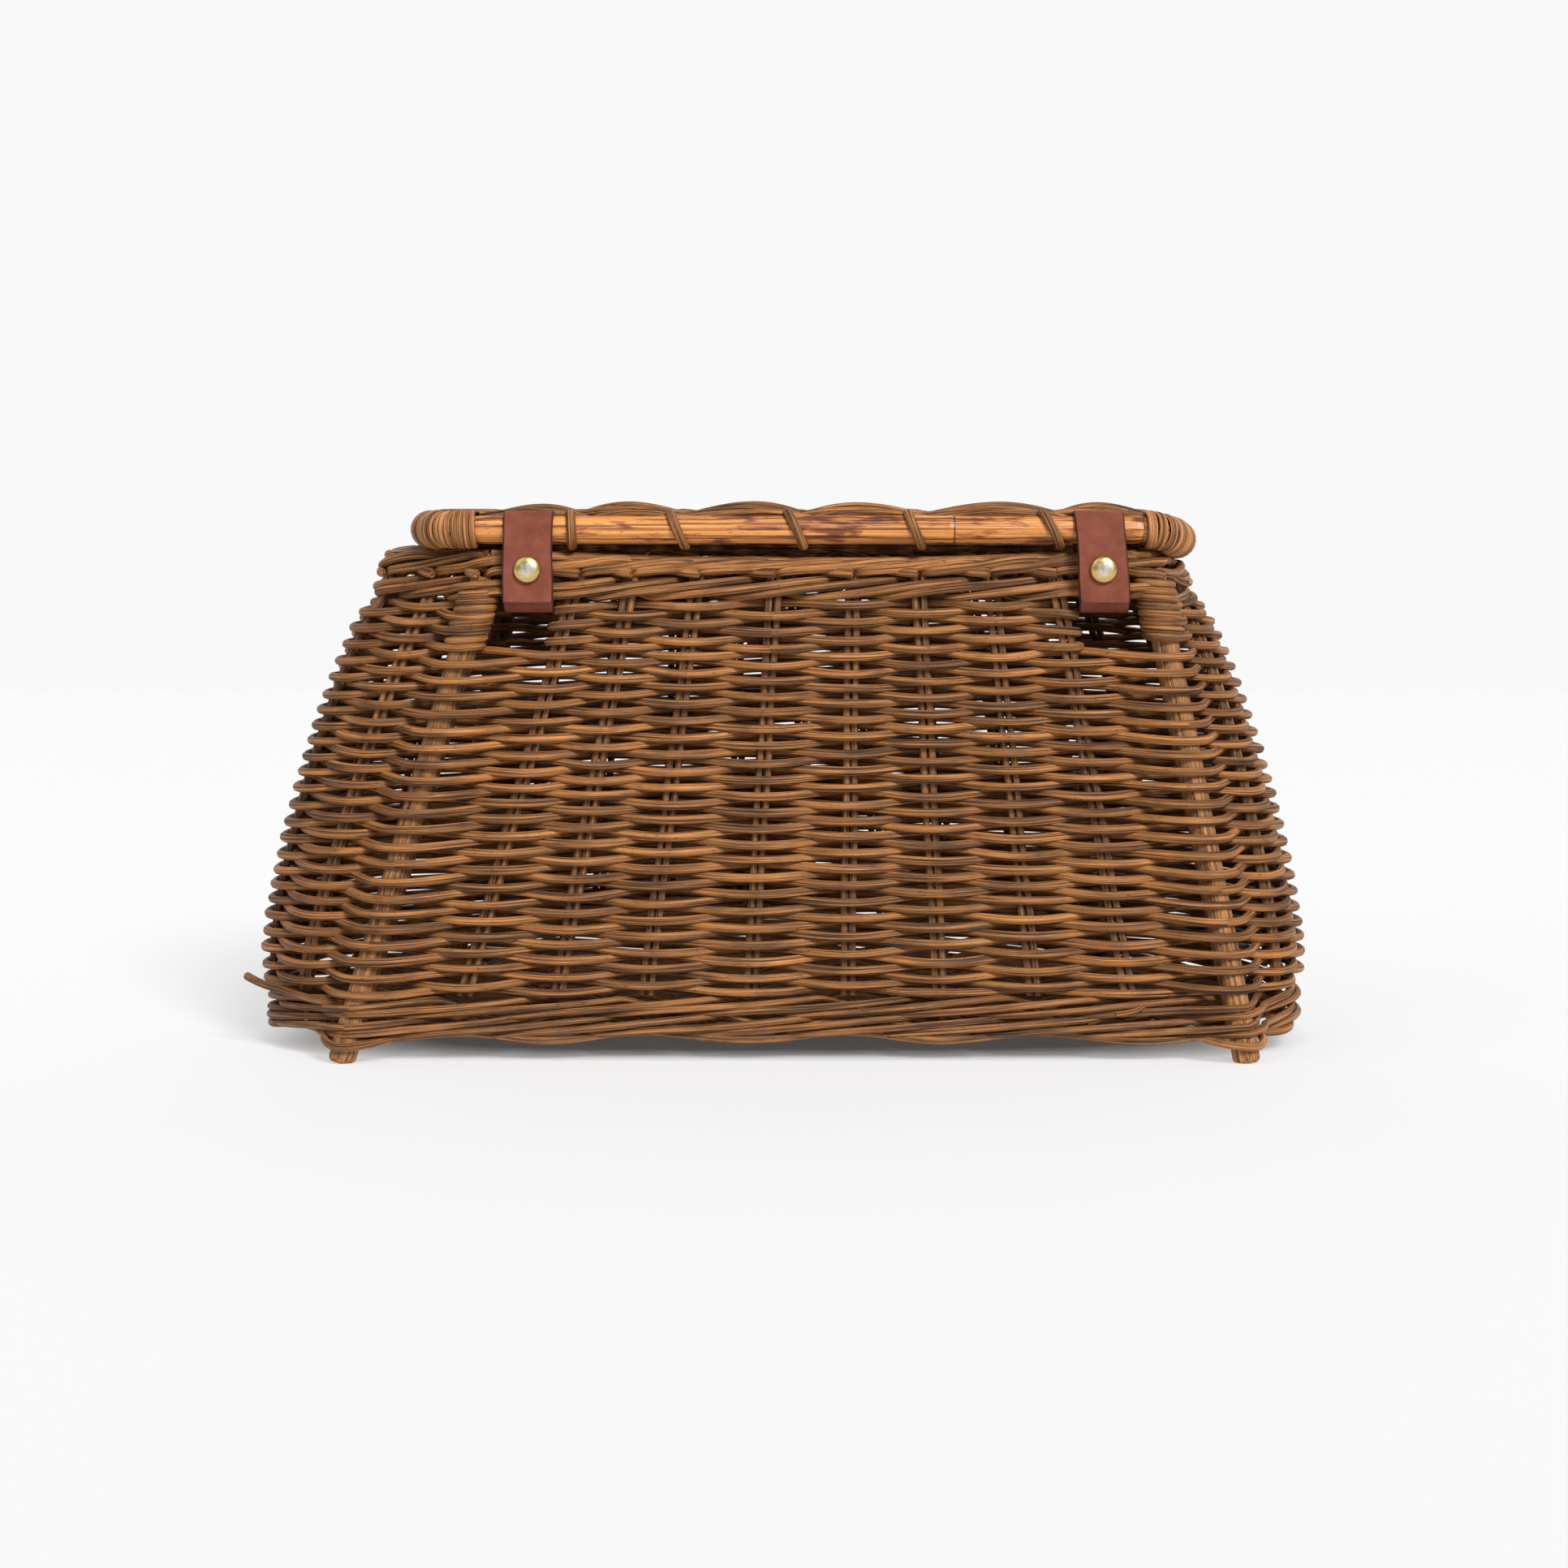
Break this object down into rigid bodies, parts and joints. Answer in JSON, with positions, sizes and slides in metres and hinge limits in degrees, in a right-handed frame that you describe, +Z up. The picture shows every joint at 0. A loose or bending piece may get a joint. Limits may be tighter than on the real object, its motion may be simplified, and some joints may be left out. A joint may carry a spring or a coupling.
{
  "type": "wicker picnic basket",
  "caption": "Creel-shaped wicker picnic basket on four post feet, with a lid that turns in leather loop hinges and a leather closure strap.",
  "frame": {"origin": "under the middle of the basket, on the floor it stands on", "axes": "+X to the right seen from the hinge side, +Y from the hinge side towards the closure, +Z up"},
  "size_m": [0.4177, 0.2072, 0.2131],
  "materials": {
    "woven_cane": "stained round cane, satin",
    "stake_cane": "stained round cane, satin",
    "post_cane": "thick cane, worn satin",
    "peeled_rod": "bare rattan skin, semi-gloss, cracked",
    "wrapped_hoop": "wrapped flat cane, satin",
    "red_brown_leather": "matt vegetable-tanned leather",
    "worn_brass": "worn gilt brass"
  },
  "bodies": {
    "basket": {"hinge_wall_weave": "woven_cane", "right_wall_weave": "woven_cane", "front_wall_weave": "woven_cane", "left_wall_weave": "woven_cane", "hinge_stake_1": "stake_cane", "hinge_stake_2": "stake_cane", "hinge_stake_3": "stake_cane", "hinge_stake_4": "stake_cane", "hinge_stake_5": "stake_cane", "hinge_stake_6": "stake_cane", "hinge_stake_7": "stake_cane", "hinge_stake_8": "stake_cane", "right_stake_1": "stake_cane", "right_stake_2": "stake_cane", "right_stake_3": "stake_cane", "right_stake_4": "stake_cane", "right_stake_5": "stake_cane", "front_stake_1": "stake_cane", "front_stake_2": "stake_cane", "front_stake_3": "stake_cane", "front_stake_4": "stake_cane", "front_stake_5": "stake_cane", "front_stake_6": "stake_cane", "front_stake_7": "stake_cane", "front_stake_8": "stake_cane", "left_stake_1": "stake_cane", "left_stake_2": "stake_cane", "left_stake_3": "stake_cane", "left_stake_4": "stake_cane", "left_stake_5": "stake_cane", "hinge_left_post": "post_cane", "hinge_right_post": "post_cane", "front_right_post": "post_cane", "front_left_post": "post_cane", "bottom_wale": "woven_cane", "top_wale": "woven_cane", "rim_border": "woven_cane", "base_weave": "woven_cane", "hinge_strap_left": "red_brown_leather", "hinge_strap_left_rivet": "worn_brass", "hinge_strap_left_burr": "worn_brass", "hinge_strap_right": "red_brown_leather", "hinge_strap_right_rivet": "worn_brass", "hinge_strap_right_burr": "worn_brass", "closure_stud": "worn_brass", "closure_patch": "red_brown_leather"},
    "lid": {"lid_rod": "peeled_rod", "lid_hoop": "wrapped_hoop", "lid_weave": "woven_cane", "lid_lashing_1": "woven_cane", "lid_lashing_2": "woven_cane", "lid_lashing_3": "woven_cane", "lid_lashing_4": "woven_cane", "lid_lashing_5": "woven_cane"},
    "closure": {"closure_strap": "red_brown_leather", "closure_strap_rivet": "worn_brass", "closure_strap_burr": "worn_brass"}
  },
  "joints": [
    {"name": "lid_hinge", "type": "hinge", "parent": "basket", "child": "lid", "pos_m": [0.009, -0.069, 0.2027], "axis": [1, 0, 0], "range_deg": [0, 150]},
    {"name": "closure_swing", "type": "hinge", "parent": "lid", "child": "closure", "pos_m": [-0.00765, 0.086, 0.2027], "axis": [1, 0, 0], "range_deg": [0, 150]}
  ]
}
